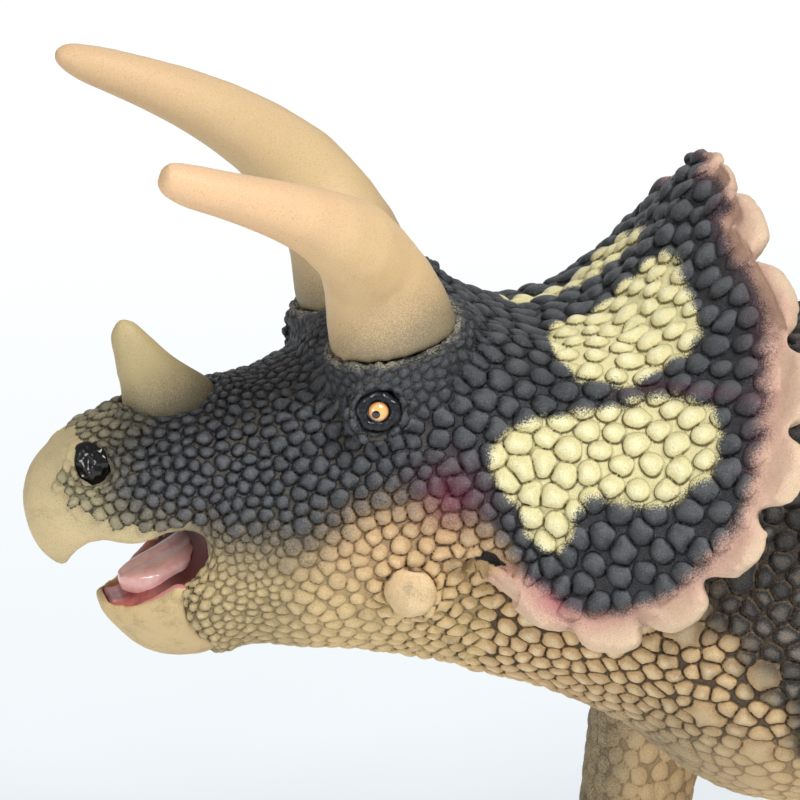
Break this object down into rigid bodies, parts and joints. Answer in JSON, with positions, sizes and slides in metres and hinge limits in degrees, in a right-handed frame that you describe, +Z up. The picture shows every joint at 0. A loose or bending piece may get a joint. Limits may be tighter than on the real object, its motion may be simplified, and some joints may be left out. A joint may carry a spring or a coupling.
{
  "type": "toy dinosaur figure",
  "caption": "Horned dinosaur toy figure in a walking pose, with a wide scalloped neck frill, brow horns, an open beaked mouth and raised painted scales.",
  "frame": {"origin": "on the ground under the middle of the figure's length and width", "axes": "+Z up, beak towards -X, tail towards +X, the figure's left side towards -Y"},
  "size_m": [0.2998, 0.0872, 0.1286],
  "materials": {
    "skin": "matte, dark paint over tan with raised scales",
    "limb_skin": "matte, tan with a brown wash in the grooves",
    "horn": "satin, sprayed darker towards the base",
    "beak": "satin, sprayed",
    "mouth": "gloss varnish",
    "eye": "gloss varnish"
  },
  "bodies": {
    "root": {"head_with_frill": "skin", "body_with_neck": "skin", "tail": "skin", "left_foreleg": "limb_skin", "right_foreleg": "limb_skin", "left_hindleg": "limb_skin", "right_hindleg": "limb_skin", "lower_beak": "beak", "mouth_lining": "mouth", "tongue": "mouth", "nose_horn": "horn", "left_brow_horn": "horn", "right_brow_horn": "horn", "left_eye": "eye", "right_eye": "eye"}
  },
  "joints": []
}
